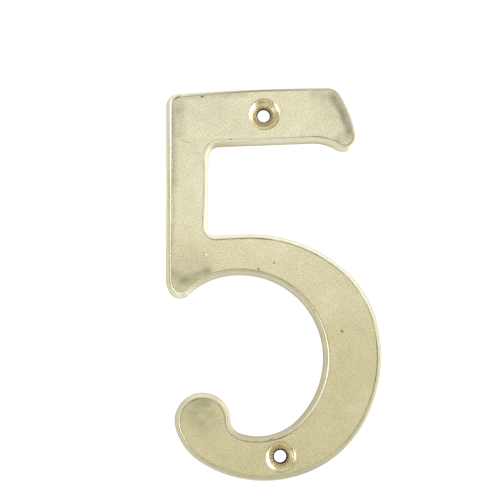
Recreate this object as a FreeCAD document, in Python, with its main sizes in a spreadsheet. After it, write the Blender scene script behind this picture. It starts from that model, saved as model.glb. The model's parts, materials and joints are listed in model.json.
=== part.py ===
"""Cast brass door number 5 with two countersunk screw holes.

The number stands upright in millimetres: +X to the right of someone facing it, +Y into the wall
and +Z up. Its flat back lies in the plane y = 0, its polished face looks towards -Y, and the
upper screw hole's axis goes through the origin. Directions along the outline are in degrees,
turned clockwise from straight up, as seen from the front.
"""
import FreeCAD
import Part
import Sketcher

import math
import os

NODE = "numeral_five"
RIGHT_TURN = 1
LEFT_TURN = -1

# Each size has its own name, and is written only here.
SIZES = [
    ("thickness", 4.8, "back to face"),
    ("draft_angle", 7.5, "lean of the cast side walls"),
    ("shoulder_radius", 0.4, "rounding between side wall and face"),
    ("upper_countersink_diameter", 5.9, "upper screw hole, at the face"),
    ("lower_countersink_diameter", 5.7, "lower screw hole, at the face"),
    ("countersink_angle", 60.0, "whole angle of both countersinks"),
    ("neck_diameter", 3.1, "where a countersink ends and the hole tapers on"),
    ("hole_diameter", 2.4, "straight stretch at the back"),
    ("hole_length", 1.0, "length of that straight stretch"),
    ("left_side_from_hole", 18.85, "upper hole's axis to the stem's left side"),
    ("top_edge_above_hole", 5.3, "upper hole's axis up to the top edge"),
    ("lower_hole_from_edge", 4.5, "lower hole's axis to the bowl's bottom edge"),
    ("lower_hole_angle", 9.6, "lower hole's place on the bowl, from straight down"),
    ("top_left_corner_radius", 2.4, "corner over the stem"),
    ("top_edge_start_angle", 4.6, "slope of the top edge at its left end"),
    ("top_edge_radius", 400.0, "slight crown of the top edge"),
    ("top_edge_end_angle", 0.43, "slope of the top edge at its right end"),
    ("bar_tip_radius", 2.8, "corner at the right end of the top edge"),
    ("bar_tip_angle", 57.8, "fall of the bar's end, at its top"),
    ("bar_end_radius", 23.9, "slanted end of the bar"),
    ("bar_end_angle", 11.7, "bar's end off plumb, at its bottom"),
    ("lip_radius", 2.7, "lowest corner of the bar's end"),
    ("lip_angle", 30.8, "slope from the lip back up to the underside"),
    ("lip_hollow_radius", 8.5, "hollow between lip and underside"),
    ("underside_angle", 2.3, "slope of the bar's underside"),
    ("stem_corner_radius", 2.15, "inner corner of bar and stem"),
    ("stem_angle", 0.7, "stem's right side off plumb"),
    ("stem_length", 13.4, "straight stretch of the stem's right side"),
    ("bowl_corner_radius", 1.55, "inner corner of stem and bowl"),
    ("bowl_top_angle", 2.8, "slope of the bowl's first straight stretch"),
    ("bowl_top_length", 5.2, "bowl's first straight stretch"),
    ("outer_crown_radius", 28.0, "bowl outside, upper right"),
    ("outer_crown_angle", 42.0, "fall at the end of that arc"),
    ("outer_haunch_radius", 19.1, "bowl outside, right above the middle"),
    ("outer_haunch_angle", 14.9, "angle still to plumb at its end"),
    ("outer_side_radius", 27.0, "bowl outside, right"),
    ("outer_side_angle", 26.4, "angle past plumb at its end"),
    ("outer_bottom_radius", 21.6, "bowl outside, lower right"),
    ("outer_bottom_angle", 23.8, "fall to the left at its end"),
    ("outer_sole_radius", 22.7, "bowl outside, bottom"),
    ("outer_sole_angle", 32.5, "rise to the left at its end"),
    ("outer_heel_radius", 11.4, "bowl outside, lower left"),
    ("outer_heel_angle", 15.5, "angle still to plumb at its end"),
    ("ball_radius", 5.4, "round end of the hook"),
    ("ball_angle", 1.3, "angle still to plumb at its end"),
    ("ball_hollow_radius", 2.75, "hollow between ball and bowl"),
    ("ball_hollow_angle", 18.2, "fall at the end of that hollow"),
    ("inner_floor_radius", 10.7, "bowl inside, bottom"),
    ("inner_floor_angle", 43.5, "angle still to plumb at its end"),
    ("inner_side_radius", 18.1, "bowl inside, lower right"),
    ("inner_side_angle", 24.2, "angle still to plumb at its end"),
    ("inner_roof_radius", 16.0, "bowl inside, right and top"),
    ("inner_roof_angle", 11.9, "fall at the end of that arc"),
    ("inner_crook_radius", 13.6, "bowl inside, upper left"),
    ("inner_crook_angle", 43.9, "fall at the end of that arc"),
    ("foot_radius", 2.35, "spur at the foot of the stem"),
    ("foot_angle", 28.1, "angle still to plumb at its end"),
    ("foot_side_radius", 5.6, "from the spur into the stem's left side"),
]


class Line:
    """A straight stretch of the outline. Without a size, its length follows from the rest."""

    def __init__(self, name, length=None):
        self.name = name
        self.length = length


class Arc:
    """A round stretch that starts where the last one ends, with no kink, and turns to a direction.

    The direction at its end is quarters * 90 degrees, plus or minus the size named by end.
    """

    def __init__(self, name, turn, quarters, sign=0, end=None):
        self.name = name
        self.turn = turn
        self.radius = name + "_radius"
        self.quarters = quarters
        self.sign = sign
        self.end = end

    def end_direction(self, size):
        if self.end is None:
            return 90.0 * self.quarters
        return 90.0 * self.quarters + self.sign * size[self.end]

    def end_formula(self):
        if self.end is None:
            return str(90 * self.quarters)
        return "(%d %s Sizes.%s)" % (90 * self.quarters, "+" if self.sign > 0 else "-", self.end)


# The back outline, clockwise from the foot of the stem's left side.
OUTLINE = [
    Line("left_side"),
    Arc("top_left_corner", RIGHT_TURN, 1, -1, "top_edge_start_angle"),
    Arc("top_edge", RIGHT_TURN, 1, -1, "top_edge_end_angle"),
    Arc("bar_tip", RIGHT_TURN, 1, 1, "bar_tip_angle"),
    Arc("bar_end", RIGHT_TURN, 2, -1, "bar_end_angle"),
    Arc("lip", RIGHT_TURN, 3, 1, "lip_angle"),
    Arc("lip_hollow", LEFT_TURN, 3, -1, "underside_angle"),
    Line("underside"),
    Arc("stem_corner", LEFT_TURN, 2, 1, "stem_angle"),
    Line("stem", "stem_length"),
    Arc("bowl_corner", LEFT_TURN, 1, -1, "bowl_top_angle"),
    Line("bowl_top", "bowl_top_length"),
    Arc("outer_crown", RIGHT_TURN, 1, 1, "outer_crown_angle"),
    Arc("outer_haunch", RIGHT_TURN, 2, -1, "outer_haunch_angle"),
    Arc("outer_side", RIGHT_TURN, 2, 1, "outer_side_angle"),
    Arc("outer_bottom", RIGHT_TURN, 3, -1, "outer_bottom_angle"),
    Arc("outer_sole", RIGHT_TURN, 3, 1, "outer_sole_angle"),
    Arc("outer_heel", RIGHT_TURN, 4, -1, "outer_heel_angle"),
    Arc("ball", RIGHT_TURN, 6, -1, "ball_angle"),
    Arc("ball_hollow", LEFT_TURN, 5, 1, "ball_hollow_angle"),
    Arc("inner_floor", LEFT_TURN, 4, 1, "inner_floor_angle"),
    Arc("inner_side", LEFT_TURN, 4, 1, "inner_side_angle"),
    Arc("inner_roof", LEFT_TURN, 3, -1, "inner_roof_angle"),
    Arc("inner_crook", LEFT_TURN, 3, -1, "inner_crook_angle"),
    Arc("foot", RIGHT_TURN, 4, -1, "foot_angle"),
    Arc("foot_side", RIGHT_TURN, 4),
]


def forward(direction):
    """Unit vector along a direction, in the sketch's own X and Y."""
    turned = math.radians(direction)
    return FreeCAD.Vector(math.sin(turned), math.cos(turned), 0)


def rightward(direction):
    """Unit vector to the right of a direction."""
    return forward(direction + 90)


def closing_lengths(size):
    """Lengths of the stem's left side and the bar's underside, which close the outline."""
    travelled = FreeCAD.Vector()
    direction = 0.0
    open_lines = {}
    for step in OUTLINE:
        if isinstance(step, Arc):
            end = step.end_direction(size)
            swung = rightward(direction) - rightward(end)
            travelled += swung * (step.turn * size[step.radius])
            direction = end
        elif step.length:
            travelled += forward(direction) * size[step.length]
        else:
            open_lines[step.name] = forward(direction)
    side = open_lines["left_side"]
    under = open_lines["underside"]
    spread = side.x * under.y - side.y * under.x
    return {
        "left_side": (travelled.y * under.x - travelled.x * under.y) / spread,
        "underside": (travelled.x * side.y - travelled.y * side.x) / spread,
    }


def traced_outline(size):
    """Every stretch of the outline as a curve, by its name, and the place of the lower hole."""
    lengths = closing_lengths(size)
    here = FreeCAD.Vector(-size["left_side_from_hole"], 0, 0)
    direction = 0.0
    curves = {}
    centres = {}
    for step in OUTLINE:
        if isinstance(step, Line):
            length = size[step.length] if step.length else lengths[step.name]
            there = here + forward(direction) * length
            curves[step.name] = Part.LineSegment(here, there)
            here = there
            continue
        end = step.end_direction(size)
        radius = size[step.radius]
        centre = here + rightward(direction) * (step.turn * radius)
        circle = Part.Circle(centre, FreeCAD.Vector(0, 0, 1), radius)
        if step.turn == RIGHT_TURN:
            span = (180 - end, 180 - direction)
        else:
            span = (-direction, -end)
        curves[step.name] = Part.ArcOfCircle(circle, math.radians(span[0]), math.radians(span[1]))
        centres[step.name] = centre
        here = centre - rightward(end) * (step.turn * radius)
        direction = end
    crown = centres["top_edge"]
    crown_height = crown.y + math.sqrt(size["top_edge_radius"] ** 2 - crown.x**2)
    lift = FreeCAD.Vector(0, size["top_edge_above_hole"] - crown_height, 0)
    for curve in curves.values():
        curve.translate(lift)
    reach = size["outer_sole_radius"] - size["lower_hole_from_edge"]
    arc_centre = centres["outer_sole"] + lift
    lower_hole = arc_centre + forward(180 - size["lower_hole_angle"]) * reach
    return curves, arc_centre, lower_hole


def travel_ends(step):
    """Sketch point numbers where the outline enters and leaves a stretch."""
    if isinstance(step, Arc) and step.turn == RIGHT_TURN:
        return 2, 1
    return 1, 2


def constrain(sketch, formula, *constraint):
    """Add one dimension to a sketch and bind it to a formula of the named sizes."""
    index = sketch.addConstraint(Sketcher.Constraint(*constraint))
    sketch.setExpression("Constraints[%d]" % index, formula)
    return index


def origin_plane(body, role):
    return next(item for item in body.Origin.OriginFeatures if item.Role == role)


def new_sketch(body, name, plane):
    sketch = body.newObject("Sketcher::SketchObject", name)
    sketch.AttachmentSupport = [(origin_plane(body, plane), "")]
    sketch.MapMode = "FlatFace"
    return sketch


def draw_outline(body, size):
    """Sketch of the back outline: lines and arcs in a tangent chain."""
    sketch = new_sketch(body, "Outline", "XZ_Plane")
    curves, arc_centre, lower_hole = traced_outline(size)
    place = {step.name: sketch.addGeometry(curves[step.name], False) for step in OUTLINE}
    for step, following in zip(OUTLINE, OUTLINE[1:] + OUTLINE[:1]):
        leaving = (place[step.name], travel_ends(step)[1])
        entering = (place[following.name], travel_ends(following)[0])
        sketch.addConstraint(Sketcher.Constraint("Tangent", *leaving, *entering))

    before = "0"
    direction = 0.0
    for step in OUTLINE:
        here = place[step.name]
        if isinstance(step, Line):
            if step.length:
                constrain(sketch, "Sizes." + step.length, "Distance", here, size[step.length])
            continue
        constrain(sketch, "Sizes." + step.radius, "Radius", here, size[step.radius])
        end = step.end_direction(size)
        if step.end:
            swept = "%d * (%s - %s) * 1 deg" % (step.turn, step.end_formula(), before)
            angle = math.radians(step.turn * (end - direction))
            constrain(sketch, swept, "Angle", here, angle)
        before = step.end_formula()
        direction = end

    left = place["left_side"]
    sketch.addConstraint(Sketcher.Constraint("Vertical", left))
    from_hole = size["left_side_from_hole"]
    constrain(sketch, "Sizes.left_side_from_hole", "Distance", -1, 1, left, from_hole)
    above = size["top_edge_above_hole"]
    mark = sketch.addGeometry(Part.Point(FreeCAD.Vector(0, above, 0)), True)
    sketch.addConstraint(Sketcher.Constraint("PointOnObject", mark, 1, -2))
    sketch.addConstraint(Sketcher.Constraint("PointOnObject", mark, 1, place["top_edge"]))
    constrain(sketch, "Sizes.top_edge_above_hole", "DistanceY", -1, 1, mark, 1, above)

    mark_lower_hole(sketch, place["outer_sole"], size, arc_centre, lower_hole)
    return sketch


def mark_lower_hole(sketch, bottom_arc, size, arc_centre, lower_hole):
    """Construction line from the bottom arc's centre to the lower hole, with its place named."""
    spoke = sketch.addGeometry(Part.LineSegment(arc_centre, lower_hole), True)
    sketch.addConstraint(Sketcher.Constraint("Coincident", spoke, 1, bottom_arc, 3))
    reach = size["outer_sole_radius"] - size["lower_hole_from_edge"]
    reach_formula = "Sizes.outer_sole_radius - Sizes.lower_hole_from_edge"
    constrain(sketch, reach_formula, "Distance", spoke, reach)
    swing = math.radians(size["lower_hole_angle"] - 90)
    constrain(sketch, "(Sizes.lower_hole_angle - 90) * 1 deg", "Angle", spoke, swing)
    for name, kind, value in (
        ("lower_hole_right", "DistanceX", lower_hole.x),
        ("lower_hole_down", "DistanceY", lower_hole.y),
    ):
        index = sketch.addConstraint(Sketcher.Constraint(kind, -1, 1, spoke, 2, value))
        sketch.setDriving(index, False)
        sketch.renameConstraint(index, name)


def add_casting(body, outline):
    """The solid: a pad whose side walls lean inwards, with a rounded shoulder round its face."""
    pad = body.newObject("PartDesign::Pad", "Pad")
    pad.Profile = outline
    pad.setExpression("Length", "Sizes.thickness")
    pad.setExpression("TaperAngle", "-Sizes.draft_angle")
    body.Document.recompute()

    face_plane = pad.Shape.BoundBox.YMin
    rim = []
    for number, edge in enumerate(pad.Shape.Edges, 1):
        if edge.BoundBox.YMax < face_plane / 2:
            rim.append("Edge%d" % number)
    shoulder = body.newObject("PartDesign::Fillet", "Shoulder")
    shoulder.Base = (pad, rim)
    shoulder.setExpression("Radius", "Sizes.shoulder_radius")
    body.Document.recompute()
    return shoulder


def add_screw_hole(body, name, size, rim_name, right_formula, up_formula):
    """A countersink, a tapered neck and a straight stretch, turned round the hole's axis."""
    sketch = new_sketch(body, name + "Profile", "YZ_Plane")
    sketch.setExpression("AttachmentOffset.Base.y", up_formula)
    sketch.setExpression("AttachmentOffset.Base.z", right_formula)

    face = -size["thickness"]
    rim = size[rim_name] / 2
    neck = size["neck_diameter"] / 2
    hole = size["hole_diameter"] / 2
    half_angle = math.radians(size["countersink_angle"] / 2)
    corners = [
        FreeCAD.Vector(0, 0, 0),
        FreeCAD.Vector(face, 0, 0),
        FreeCAD.Vector(face, rim, 0),
        FreeCAD.Vector(face + (rim - neck) / math.tan(half_angle), neck, 0),
        FreeCAD.Vector(-size["hole_length"], hole, 0),
        FreeCAD.Vector(0, hole, 0),
    ]
    sides = []
    for first, second in zip(corners, corners[1:] + corners[:1]):
        sides.append(sketch.addGeometry(Part.LineSegment(first, second), False))
    axis, face_side, cone_side, neck_side, hole_side, back_side = sides
    for side, following in zip(sides, sides[1:] + sides[:1]):
        sketch.addConstraint(Sketcher.Constraint("Coincident", side, 2, following, 1))
    sketch.addConstraint(Sketcher.Constraint("Coincident", axis, 1, -1, 1))
    for side in (axis, hole_side):
        sketch.addConstraint(Sketcher.Constraint("Horizontal", side))
    for side in (face_side, back_side):
        sketch.addConstraint(Sketcher.Constraint("Vertical", side))
    constrain(sketch, "Sizes.thickness", "Distance", axis, -face)
    constrain(sketch, "Sizes.%s / 2" % rim_name, "Distance", face_side, rim)
    constrain(sketch, "-Sizes.countersink_angle / 2 * 1 deg", "Angle", cone_side, -half_angle)
    constrain(sketch, "Sizes.neck_diameter / 2", "DistanceY", -1, 1, neck_side, 1, neck)
    constrain(sketch, "Sizes.hole_length", "Distance", hole_side, size["hole_length"])
    constrain(sketch, "Sizes.hole_diameter / 2", "Distance", back_side, hole)

    groove = body.newObject("PartDesign::Groove", name)
    groove.Profile = sketch
    groove.ReferenceAxis = (sketch, ["H_Axis"])
    groove.Angle = 360
    body.Document.recompute()
    return groove


def fill_size_sheet(doc):
    sheet = doc.addObject("Spreadsheet::Sheet", "Sizes")
    for row, (name, value, meaning) in enumerate(SIZES, 1):
        sheet.set("A%d" % row, name)
        sheet.set("B%d" % row, repr(value))
        sheet.set("C%d" % row, meaning)
        sheet.setAlias("B%d" % row, name)
    doc.recompute()


def build_numeral(doc):
    size = {name: value for name, value, meaning in SIZES}
    body = doc.addObject("PartDesign::Body", NODE)
    body.Label = NODE
    body.Placement = FreeCAD.Placement()
    outline = draw_outline(body, size)
    doc.recompute()
    casting = add_casting(body, outline)
    rim = "upper_countersink_diameter"
    upper = add_screw_hole(body, "UpperHole", size, rim, "0", "0")
    right = "Outline.Constraints.lower_hole_right"
    down = "Outline.Constraints.lower_hole_down"
    rim = "lower_countersink_diameter"
    lower = add_screw_hole(body, "LowerHole", size, rim, right, down)
    if not lower.Shape.Volume < upper.Shape.Volume < casting.Shape.Volume:
        raise RuntimeError("a screw hole takes nothing away")
    return body


def check(doc, body):
    for item in doc.Objects:
        if "Invalid" in item.State or "Error" in item.State:
            raise RuntimeError("%s did not build: %s" % (item.Name, item.State))
    shape = body.Shape
    if shape.isNull() or not shape.isValid() or len(shape.Solids) != 1:
        raise RuntimeError("the number is not one valid solid")


def main():
    doc = FreeCAD.newDocument("door_number")
    fill_size_sheet(doc)
    body = build_numeral(doc)
    check(doc, body)
    os.makedirs("parts", exist_ok=True)
    body.Shape.exportStep("parts/%s.step" % NODE)


main()
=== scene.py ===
"""Cast brass door number 5: its finished surfaces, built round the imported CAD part.

The frame is the CAD part's own: metres, +X to the right of someone facing the number, +Y into the
wall and +Z up. The back lies in the plane y = 0, the polished face looks towards -Y, and the upper
screw hole's axis goes through the origin. Work on the casting itself is in millimetres.
"""

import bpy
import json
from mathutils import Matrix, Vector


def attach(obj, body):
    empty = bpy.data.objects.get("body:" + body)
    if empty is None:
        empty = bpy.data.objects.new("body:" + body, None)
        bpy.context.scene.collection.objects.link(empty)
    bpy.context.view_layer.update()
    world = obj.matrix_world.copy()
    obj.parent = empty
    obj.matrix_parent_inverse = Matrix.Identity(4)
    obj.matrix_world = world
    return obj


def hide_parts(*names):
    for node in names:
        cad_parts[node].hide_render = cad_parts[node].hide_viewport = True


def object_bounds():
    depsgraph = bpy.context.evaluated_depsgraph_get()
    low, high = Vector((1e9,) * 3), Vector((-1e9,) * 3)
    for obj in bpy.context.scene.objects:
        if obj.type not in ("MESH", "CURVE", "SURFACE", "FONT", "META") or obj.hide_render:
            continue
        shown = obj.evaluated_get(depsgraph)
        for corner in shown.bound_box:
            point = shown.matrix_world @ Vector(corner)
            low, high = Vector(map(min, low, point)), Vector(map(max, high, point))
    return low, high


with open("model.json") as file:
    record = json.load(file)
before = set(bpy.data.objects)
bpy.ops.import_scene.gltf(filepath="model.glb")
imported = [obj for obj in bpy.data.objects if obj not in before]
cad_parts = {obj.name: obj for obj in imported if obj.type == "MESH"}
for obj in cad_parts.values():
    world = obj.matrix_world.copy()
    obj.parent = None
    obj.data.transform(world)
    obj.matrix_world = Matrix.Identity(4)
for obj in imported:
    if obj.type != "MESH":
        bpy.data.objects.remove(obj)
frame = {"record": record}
CAD_BOX = [list(corner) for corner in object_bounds()]

import json
import math

import bpy
import numpy as np
from mathutils import Vector, noise
from mathutils.geometry import delaunay_2d_cdt

bl_info = {
    "name": "Cast Brass Door Number",
    "version": (1, 0, 0),
    "blender": (4, 5, 0),
    "location": "3D View > Sidebar > Door Number",
    "description": "Casts, polishes and drills a brass door number 5, and sets up its studio",
    "category": "Add Mesh",
}

NODE = "numeral_five"
MM = 0.001

MOUNTS = {mount["name"]: mount for mount in frame["record"]["mounts"]}

# The back outline, clockwise from the foot of the stem's left side, in millimetres.
# A straight stretch has its length. A bend has its radius and the direction that it turns to,
# in degrees clockwise from straight up.
OUTLINE_START = (-18.85, -31.4059)
OUTLINE = (
    ("left side", 33.3232, None),
    ("top left corner", 2.4, 85.4),
    ("top edge", 400.0, 89.57),
    ("bar tip", 2.8, 147.8),
    ("bar end", 23.9, 168.3),
    ("lip", 2.7, 300.8),
    ("lip hollow", 8.5, 267.7),
    ("underside", 17.8608, None),
    ("stem corner", 2.15, 180.7),
    ("stem", 13.4, None),
    ("bowl corner", 1.55, 87.2),
    ("bowl top", 5.2, None),
    ("outer crown", 28.0, 132.0),
    ("outer haunch", 19.1, 165.1),
    ("outer side", 27.0, 206.4),
    ("outer bottom", 21.6, 246.2),
    ("outer sole", 22.7, 302.5),
    ("outer heel", 11.4, 344.5),
    ("ball", 5.4, 538.7),
    ("ball hollow", 2.75, 468.2),
    ("inner floor", 10.7, 403.5),
    ("inner side", 18.1, 384.2),
    ("inner roof", 16.0, 258.1),
    ("inner crook", 13.6, 226.1),
    ("foot", 2.35, 331.9),
    ("foot side", 5.6, 360.0),
)

# What brush and polishing wheel left on each stretch of the rim, with painted shade: tan film low
# on the wall, high on the wall and on the shoulder, whose amounts also darken the stretches that
# take less light, extra width of the shoulder in millimetres, and darkness of the brown line at
# the face's edge, which is tarnish and painted dark reflection.
HAND_WORK_AND_SHADE = {
    "left side": (0.00, 0.60, 0.62, 0.08, 0.15),
    "top left corner": (0.47, 0.42, 0.04, 0.12, 0.60),
    "top edge": (0.85, 1.00, 0.90, -0.10, 0.15),
    "bar tip": (0.83, 0.92, 0.62, -0.08, 0.00),
    "bar end": (0.90, 1.00, 0.60, 0.00, 0.10),
    "lip": (0.00, 0.35, 0.52, -0.05, 0.35),
    "lip hollow": (0.60, 0.22, 0.16, 0.00, 0.75),
    "underside": (0.55, 0.22, 0.13, -0.05, 0.30),
    "stem corner": (0.77, 0.61, 0.00, 0.08, 0.35),
    "stem": (0.61, 0.36, 0.58, -0.03, 0.00),
    "bowl corner": (0.47, 0.22, 0.03, 0.00, 0.60),
    "bowl top": (0.62, 0.20, 0.26, 0.00, 0.95),
    "outer crown": (0.52, 0.24, 0.03, 0.00, 0.95),
    "outer haunch": (0.84, 0.80, 0.08, 0.15, 0.40),
    "outer side": (0.99, 1.00, 0.42, 0.05, 1.00),
    "outer bottom": (0.96, 0.98, 0.45, 0.12, 0.10),
    "outer sole": (0.47, 0.81, 0.54, 0.10, 0.10),
    "outer heel": (0.73, 0.53, 0.77, 0.00, 0.20),
    "ball": (0.73, 0.50, 0.32, 0.02, 0.90),
    "ball hollow": (1.00, 1.00, 0.44, 0.14, 0.45),
    "inner floor": (1.00, 0.85, 0.45, 0.00, 1.00),
    "inner side": (0.86, 0.75, 0.38, 0.08, 0.35),
    "inner roof": (0.70, 0.50, 0.66, 0.03, 0.50),
    "inner crook": (0.58, 0.53, 0.42, 0.12, 0.42),
    "foot": (0.16, 0.05, 0.02, 0.12, 0.15),
    "foot side": (0.55, 0.36, 0.84, 0.04, 0.15),
}

# Where hand polishing has rolled the face off towards its edge: place, reach over the face,
# width in from the edge and depth at the edge, in millimetres.
ROLLED_PLACES = (
    ("bar end, top", (12.9, 3.4), 3.6, 4.0, 0.15),
    ("bar end, middle", (16.0, -0.4), 3.2, 3.2, 0.12),
    ("bar end, bottom", (17.4, -4.0), 2.8, 2.8, 0.10),
    ("foot", (-16.4, -33.4), 3.0, 5.0, 0.16),
    ("ball", (-11.8, -55.6), 5.0, 5.0, 0.40),
    ("stem, top", (-18.0, -1.0), 5.0, 1.3, 0.05),
    ("stem, upper", (-18.0, -9.0), 6.0, 1.3, 0.07),
    ("stem, lower", (-18.0, -20.0), 7.0, 1.3, 0.08),
)

# Strokes of the wheel that left the face hazy: from, to, reach in millimetres and strength.
HAZY_STROKES = (
    ("foot, left", (-17.5, -30.3), (-15.4, -31.8), 1.3, 0.48),
    ("foot, right", (-15.6, -31.9), (-12.3, -30.9), 1.1, 0.74),
    ("crook", (-12.7, -30.9), (-11.0, -30.1), 0.85, 0.80),
    ("above the foot", (-16.5, -28.4), (-12.3, -28.9), 2.4, 0.20),
    ("ball, top", (-13.0, -55.1), (-11.1, -55.1), 1.5, 0.58),
    ("ball, middle", (-14.2, -57.4), (-11.5, -58.1), 3.0, 0.36),
    ("corner", (-16.3, 2.2), (-17.0, -3.5), 1.5, 0.40),
    ("bar, left", (-14.5, 1.6), (-8.5, -0.8), 3.2, 0.12),
    ("left side", (-17.2, -3.5), (-17.3, -13.0), 0.9, 0.22),
    ("under the top edge", (-15.2, 3.0), (-3.5, 3.8), 0.5, 0.28),
    ("corner, lower", (-17.3, -0.8), (-17.3, -2.7), 1.2, 0.28),
    ("bar end, top", (9.9, 3.9), (12.8, 3.4), 1.1, 0.42),
    ("bar end, corner", (13.0, 3.4), (14.4, 1.6), 1.0, 0.68),
    ("bar end, side", (14.4, 1.6), (16.1, -3.2), 0.72, 0.80),
    ("bar end, faint", (11.1, 2.2), (14.2, -2.6), 2.2, 0.15),
    ("lip", (15.7, -4.1), (14.1, -5.1), 1.3, 0.46),
    ("lip hollow", (11.1, -4.2), (13.4, -4.3), 1.2, 0.12),
)

# Pits, nicks and scratches: place, length, width, slope in degrees, depth and how dark it is.
MARKS = (
    ("pit in the bar", (-11.91, 3.36), 0.46, 0.42, 0, 0.12, 1.0),
    ("nick in the stem", (-11.31, -26.93), 1.2, 0.30, -55, 0.055, 0.0),
    ("nick at the bowl's inner edge", (-1.11, -29.66), 0.60, 0.36, -50, 0.05, 0.75),
    ("pit in the bowl", (1.89, -28.49), 0.46, 0.28, 30, 0.05, 1.0),
    ("cut in the bowl's side", (14.88, -41.59), 0.85, 0.24, -55, 0.03, 1.0),
    ("long scratch in the bar", (-15.0, -5.35), 3.9, 0.16, -9, 0.012, 0.35),
    ("spot under the bar", (-6.38, -4.85), 0.75, 0.24, 4, 0.05, 1.0),
    ("specks at the lip", (9.9, -4.3), 1.6, 0.20, -8, 0.05, 0.7),
    ("dark edge of the lip", (17.5, -5.2), 1.9, 0.34, 42, 0.03, 0.9),
    ("dark edge of the corner", (-16.7, 3.2), 2.0, 0.26, 32, 0.03, 0.9),
    ("first cut by the bowl's floor", (1.3, -62.2), 1.5, 0.20, 20, 0.05, 0.9),
    ("second cut by the bowl's floor", (3.5, -61.2), 1.6, 0.18, 28, 0.05, 0.8),
    ("speck in the bar", (-9.45, 0.22), 0.26, 0.18, 20, 0.04, 0.5),
    ("speck by the pit", (-6.67, 3.69), 0.28, 0.2, 60, 0.04, 0.5),
    ("speck in the stem", (-15.58, -0.66), 0.28, 0.22, 0, 0.04, 0.6),
    ("speck right of the screw", (3.78, -3.41), 0.3, 0.2, 60, 0.04, 0.6),
)
PORE_COUNT = 150  # small casting pores that polishing has opened
PORE_DEPTH = 0.04  # in millimetres

# Seeds of what is spread by chance.
PORE_SEED = 3
FACE_SEED = 5
BACK_SEED = 11

# Screw holes: mount, size of the countersink, how dark the painted shade is on the ledge and down
# the hole, and the side in degrees anticlockwise from the right where that shade is darkest, with
# how narrow that patch is.
SCREW_HOLES = (
    ("upper_screw_hole", "upper_rim", 0.70, 90, 50),
    ("lower_screw_hole", "lower_rim", 1.0, -50, 1.6),
)
# Painted shade on the holes' rims and cones, darker on two opposite sides.
RIM_SHADE_SIDE = 120  # the holes' rims are brown on this side and the opposite one, in degrees
HOLE_POINTS = 96  # points round a hole


# ---------------------------------------------------------------- sizes and colours


def linear(hex_colour):
    """Linear red, green and blue of an sRGB colour written like #C0FFEE."""
    parts = [int(hex_colour[i : i + 2], 16) / 255 for i in (1, 3, 5)]
    return [c / 12.92 if c <= 0.04045 else ((c + 0.055) / 1.055) ** 2.4 for c in parts]


def length(name, description, millimetres):
    return bpy.props.FloatProperty(
        name=name,
        description=description,
        default=millimetres * MM,
        min=0.0,
        precision=5,
        unit="LENGTH",
    )


def angle(name, description, degrees):
    return bpy.props.FloatProperty(
        name=name, description=description, default=math.radians(degrees), unit="ROTATION"
    )


def share(name, description, value):
    return bpy.props.FloatProperty(
        name=name, description=description, default=value, min=0.0, max=1.0, subtype="FACTOR"
    )


def colour(name, description, hex_colour):
    return bpy.props.FloatVectorProperty(
        name=name,
        description=description,
        subtype="COLOR",
        size=3,
        min=0.0,
        max=1.0,
        default=linear(hex_colour),
    )


class CastingSizes(bpy.types.PropertyGroup):
    """Sizes of the casting and its two screw holes."""

    thickness: length("Thickness", "Back to face", -CAD_BOX[0][1] / MM)
    draft: angle("Draft", "Lean of the side walls", 7.5)
    shoulder_radius: length("Shoulder radius", "Rounding between side wall and face", 0.4)
    back_edge_radius: length("Back edge", "Rounding of the arris at the back", 0.1)
    upper_rim: length("Upper countersink", "Diameter of the upper countersink", 5.9)
    lower_rim: length("Lower countersink", "Diameter of the lower countersink", 5.7)
    countersink: angle("Countersink angle", "Whole angle of both countersinks", 60.0)
    neck: length("Neck", "Diameter where the countersink ends", 3.1)
    hole: length("Hole", "Diameter of the hole at the back", 2.4)
    hole_length: length("Hole length", "Straight stretch of the hole at the back", 1.0)
    turning_pitch: length("Turning pitch", "Depth from one turned ring to the next", 0.30)
    ring_slope: angle("Ring slope", "Slope of the turned rings", 53.0)
    spacing: length("Mesh spacing", "Distance between points on the rim and the face", 0.32)
    back_spacing: length("Back spacing", "Distance between points on the back", 0.7)
    unevenness: length("Unevenness", "How far the cast walls waver", 0.05)


class FinishColours(bpy.types.PropertyGroup):
    """Colours of the brass, where it is polished, cast, cut and tarnished, and of the shade
    painted on it.
    """

    polished: colour("Polished face", "Pale yellow of the hand-polished face", "#EBE6C5")
    # Painted shade: the face's colour low on the figure, darker and yellower where less light
    # falls.
    polish_in_painted_shade: colour("Polished face, deeper", "Where the face is more tan", "#D7CEA2")
    wall: colour("Side walls", "Cast walls, brushed over by hand", "#F6F4DA")
    # Painted shade: this tan film colour also darkens the walls and shoulders that take less
    # light.
    film_and_shade: colour("Film", "Tan film where the brush has not reached", "#8D7936")
    low_wall: colour("Low on the walls", "Yellow tint near the back", "#FFFCE0")
    wall_glance: colour("Walls, glancing", "Tint of the walls seen at a glancing angle", "#FFFEF6")
    haze: colour("Haze", "Grey haze that the wheel left on the face", "#858972")
    cut: colour("Countersinks", "Fresh brass cut by the countersink", "#F8F2DA")
    drilled: colour("Drilled holes", "Brass in the hole behind the countersink", "#EFE3C2")
    # Painted shade: this dark tint darkens the holes' throats at a glancing angle.
    drilled_glance_shade: colour("Drilled holes, glancing", "Their tint at a glancing angle", "#4A3A28")
    # Painted shade in the holes' throats.
    painted_hole_shade: colour("Oil film", "Dark cutting oil dried in the holes", "#26180F")
    back: colour("Back", "Cast skin that nobody has polished", "#B39B62")
    # Brown of real tarnish in pits and on the back, also used for painted shade along the face's
    # edge and in the holes.
    tarnish_and_shade: colour("Tarnish", "Brown film left along edges and in pits", "#6C5C33")
    face_roughness: share("Face roughness", "Roughness of the polished face", 0.24)
    wall_roughness: share("Wall roughness", "Roughness of the side walls", 0.32)
    grain: share("Grain", "Strength of the face's fine grain", 0.6)


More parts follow.
